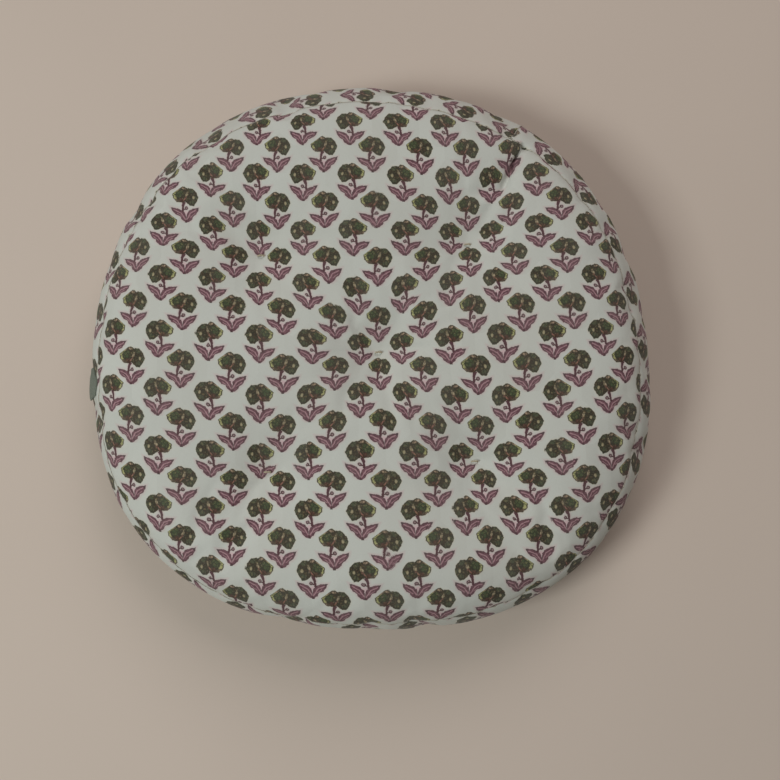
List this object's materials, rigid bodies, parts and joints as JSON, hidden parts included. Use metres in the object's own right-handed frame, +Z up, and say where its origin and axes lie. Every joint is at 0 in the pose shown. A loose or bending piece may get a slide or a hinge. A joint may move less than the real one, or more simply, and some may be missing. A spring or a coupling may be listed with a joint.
{
  "type": "round tufted floor cushion",
  "caption": "Round boxed floor cushion in printed cotton, with a sewn side band, layered filling and twine tufts tied through its thickness.",
  "frame": {"origin": "bottom centre of the whole cushion's box, on the surface it lies on", "axes": "+Z up through the thickness; +Y towards the side away from the viewer, where the printed flowers' heads point; +X to the viewer's right"},
  "size_m": [0.4994, 0.491, 0.092],
  "materials": {
    "printed_cotton": "plain-weave cotton, off-white ground with a small half-drop block print",
    "wadding": "white fibre wadding, matt",
    "core_felt": "felted fibre pad, matt",
    "sewing_thread": "twisted off-white thread",
    "tufting_twine": "twisted cream cotton twine",
    "label_tape": "blank grey-green woven tape"
  },
  "bodies": {
    "root": {"top_panel": "printed_cotton", "bottom_panel": "printed_cotton", "side_band": "printed_cotton", "wadding_top": "wadding", "wadding_bottom": "wadding", "wadding_side": "wadding", "core_pad": "core_felt", "top_seam_thread": "sewing_thread", "bottom_seam_thread": "sewing_thread", "closing_stitch_thread": "sewing_thread", "band_join_thread": "sewing_thread", "tuft_twine_centre": "tufting_twine", "tuft_twine_back_left": "tufting_twine", "tuft_twine_back_right": "tufting_twine", "tuft_twine_front_left": "tufting_twine", "tuft_twine_front_right": "tufting_twine", "side_label": "label_tape"}
  },
  "joints": []
}
